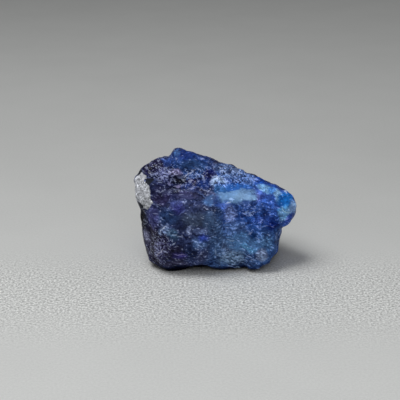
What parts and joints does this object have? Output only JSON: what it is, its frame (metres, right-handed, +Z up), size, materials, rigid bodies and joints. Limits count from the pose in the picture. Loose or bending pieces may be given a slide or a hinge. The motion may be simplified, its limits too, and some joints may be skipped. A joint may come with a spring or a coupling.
{
  "type": "afghanite specimen",
  "caption": "Rough blocky piece of deep blue afghanite with white calcite on one end, broken flat underneath so that it stands on a shelf or tray.",
  "frame": {"origin": "on the flat foot, in the middle of the stone's box seen from above", "axes": "+X along the stone's length from the calcite end to the blunt beak, -Y towards the show side, +Z up from the foot"},
  "size_m": [0.0218, 0.0152, 0.015],
  "materials": {
    "afghanite": "rough broken surface with glassy glints"
  },
  "bodies": {
    "root": {"afghanite_stone": "afghanite"}
  },
  "joints": []
}
